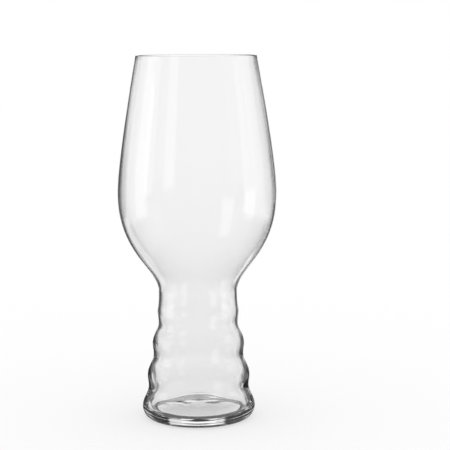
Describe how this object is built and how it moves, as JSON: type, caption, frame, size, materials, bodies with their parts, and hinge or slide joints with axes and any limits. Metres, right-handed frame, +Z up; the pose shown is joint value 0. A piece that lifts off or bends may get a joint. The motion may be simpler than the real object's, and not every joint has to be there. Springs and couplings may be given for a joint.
{
  "type": "beer glass",
  "caption": "Clear blown beer glass with a tall tulip bowl that draws in to the rim, a narrow waist and a hollow ribbed foot that flares to a flat standing ring.",
  "frame": {"origin": "centre of the flat standing ring, on the table", "axes": "+Z up the axis of the glass towards the rim; the glass is round, so +X and +Y are any two square directions"},
  "size_m": [0.082, 0.082, 0.188],
  "materials": {
    "clear_glass": "fire-polished, clear"
  },
  "bodies": {
    "root": {"glass": "clear_glass"}
  },
  "joints": []
}
